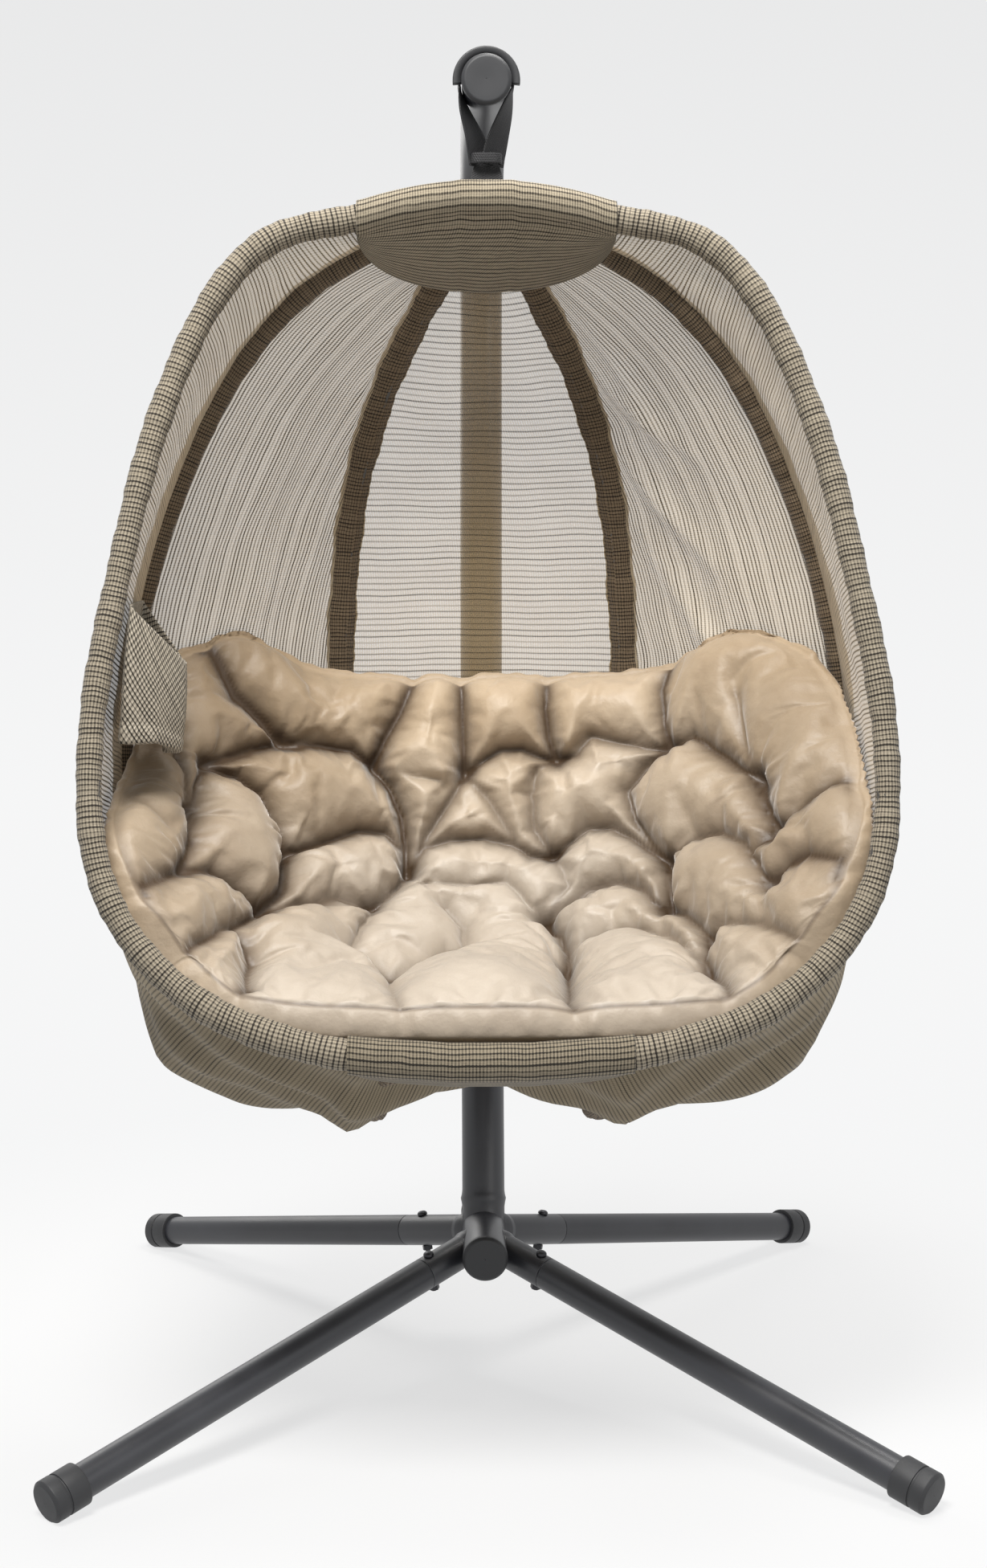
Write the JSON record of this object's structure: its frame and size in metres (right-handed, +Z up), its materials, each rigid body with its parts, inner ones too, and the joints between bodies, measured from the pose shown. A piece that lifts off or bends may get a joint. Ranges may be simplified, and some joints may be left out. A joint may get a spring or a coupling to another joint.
{
  "type": "hanging egg chair",
  "caption": "Egg-shaped hanging chair of mesh on bent tube hoops, with a tufted cushion and side pocket, hung by a webbing strap from a curved post on a splayed base.",
  "frame": {"origin": "on the floor under the middle of the hub", "axes": "+Z up along the height, -Y the way the chair faces, +X to the right as seen from the front"},
  "size_m": [1.1208, 1.1044, 1.811],
  "materials": {
    "black_paint": "satin powder coat",
    "black_plastic": "moulded, fine grain",
    "dark_zinc": "blackened",
    "hoop_tube": "powder coat",
    "webbing": "woven webbing",
    "sleeve_fabric": "checked weave",
    "mesh_fabric": "open woven mesh",
    "cushion_satin": "satin, tufted"
  },
  "bodies": {
    "stand": {"arm_end_cap": "black_plastic", "foot_cap_front_left": "black_plastic", "foot_cap_front_right": "black_plastic", "foot_cap_rear_left": "black_plastic", "foot_cap_rear_right": "black_plastic", "hub_cap_front": "black_plastic", "hub_cap_rear": "black_plastic", "hub_tube": "black_paint", "leg_bolt_front_left": "dark_zinc", "leg_bolt_front_right": "dark_zinc", "leg_bolt_rear_left": "dark_zinc", "leg_bolt_rear_right": "dark_zinc", "leg_nut_front_left": "dark_zinc", "leg_nut_front_right": "dark_zinc", "leg_nut_rear_left": "dark_zinc", "leg_nut_rear_right": "dark_zinc", "leg_socket_front_left": "black_paint", "leg_socket_front_right": "black_paint", "leg_socket_rear_left": "black_paint", "leg_socket_rear_right": "black_paint", "leg_tube_front_left": "black_paint", "leg_tube_front_right": "black_paint", "leg_tube_rear_left": "black_paint", "leg_tube_rear_right": "black_paint", "post_bolt": "dark_zinc", "post_lower": "black_paint", "post_nut": "dark_zinc", "post_upper": "black_paint", "strap_collar": "black_paint"},
    "strap_loop": {"strap_loop": "webbing"},
    "strap_tail": {"strap_tail": "webbing"},
    "chair": {"crown_patch": "sleeve_fabric", "crown_plate": "hoop_tube", "lip_patch": "sleeve_fabric", "lip_plate": "hoop_tube", "mesh_panel_back_left": "mesh_fabric", "mesh_panel_back_right": "mesh_fabric", "mesh_panel_centre": "mesh_fabric", "mesh_panel_side_left": "mesh_fabric", "mesh_panel_side_right": "mesh_fabric", "middle_hoop_left": "hoop_tube", "middle_hoop_right": "hoop_tube", "middle_sleeve_left": "sleeve_fabric", "middle_sleeve_right": "sleeve_fabric", "rear_hoop_left": "hoop_tube", "rear_hoop_right": "hoop_tube", "rear_sleeve_left": "sleeve_fabric", "rear_sleeve_right": "sleeve_fabric", "rim_hoop_left": "hoop_tube", "rim_hoop_right": "hoop_tube", "rim_sleeve_left": "sleeve_fabric", "rim_sleeve_right": "sleeve_fabric", "seat_cushion": "cushion_satin", "side_pocket": "sleeve_fabric"}
  },
  "joints": [
    {"name": "side_swing", "type": "hinge", "parent": "stand", "child": "strap_loop", "pos_m": [0, -0.195, 1.768], "axis": [0, 1, 0], "range_deg": [-6, 6]},
    {"name": "twist", "type": "hinge", "parent": "strap_loop", "child": "strap_tail", "pos_m": [0, -0.195, 1.668], "axis": [0, 0, 1], "range_deg": [-12, 12]},
    {"name": "fore_aft_swing", "type": "hinge", "parent": "strap_tail", "child": "chair", "pos_m": [0, -0.195, 1.611], "axis": [1, 0, 0], "range_deg": [-15, 2.5]}
  ]
}
